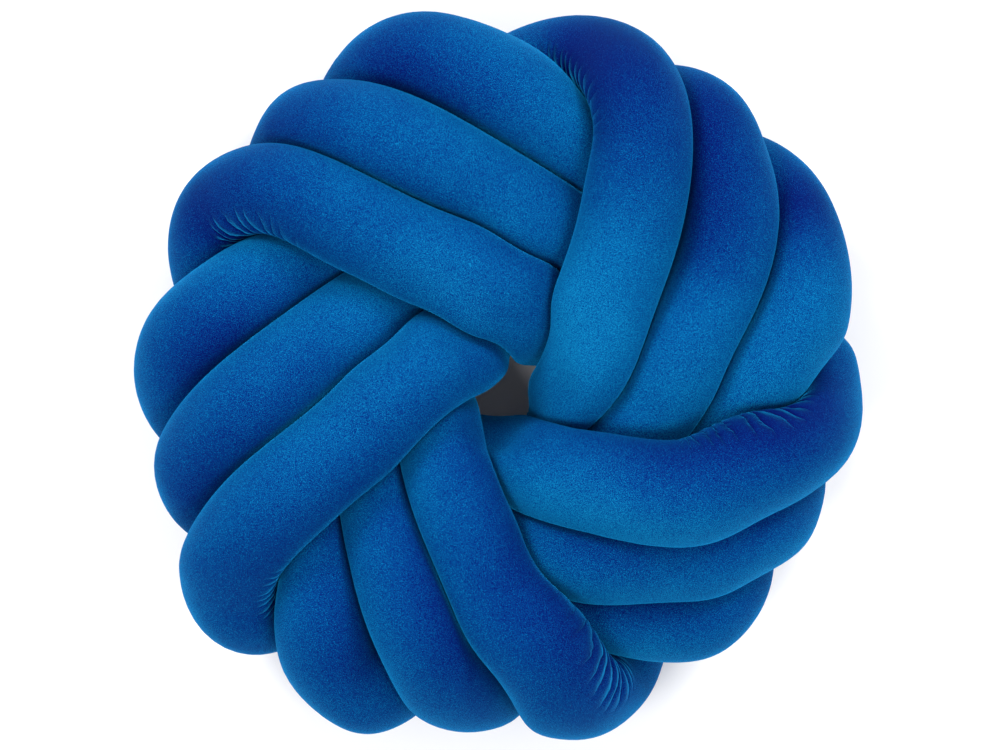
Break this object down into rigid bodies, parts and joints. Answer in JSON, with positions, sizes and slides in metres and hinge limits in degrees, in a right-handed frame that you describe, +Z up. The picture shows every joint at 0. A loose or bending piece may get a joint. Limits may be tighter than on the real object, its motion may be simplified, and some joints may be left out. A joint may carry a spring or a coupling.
{
  "type": "knot cushion",
  "caption": "Round knotted cushion of filled velvet tubes woven into a flat pinwheel, dished at the middle, to rest on a seat or a floor.",
  "frame": {"origin": "middle of the cushion's footprint, on the surface that it lies on", "axes": "+Z up out of the cushion's face, +Y towards the top of the picture, +X to its right"},
  "size_m": [0.4024, 0.4024, 0.1488],
  "materials": {
    "middle_tube": "plush velvet",
    "side_tube": "plush velvet"
  },
  "bodies": {
    "root": {"middle_tube": "middle_tube", "side_tube": "side_tube"}
  },
  "joints": []
}
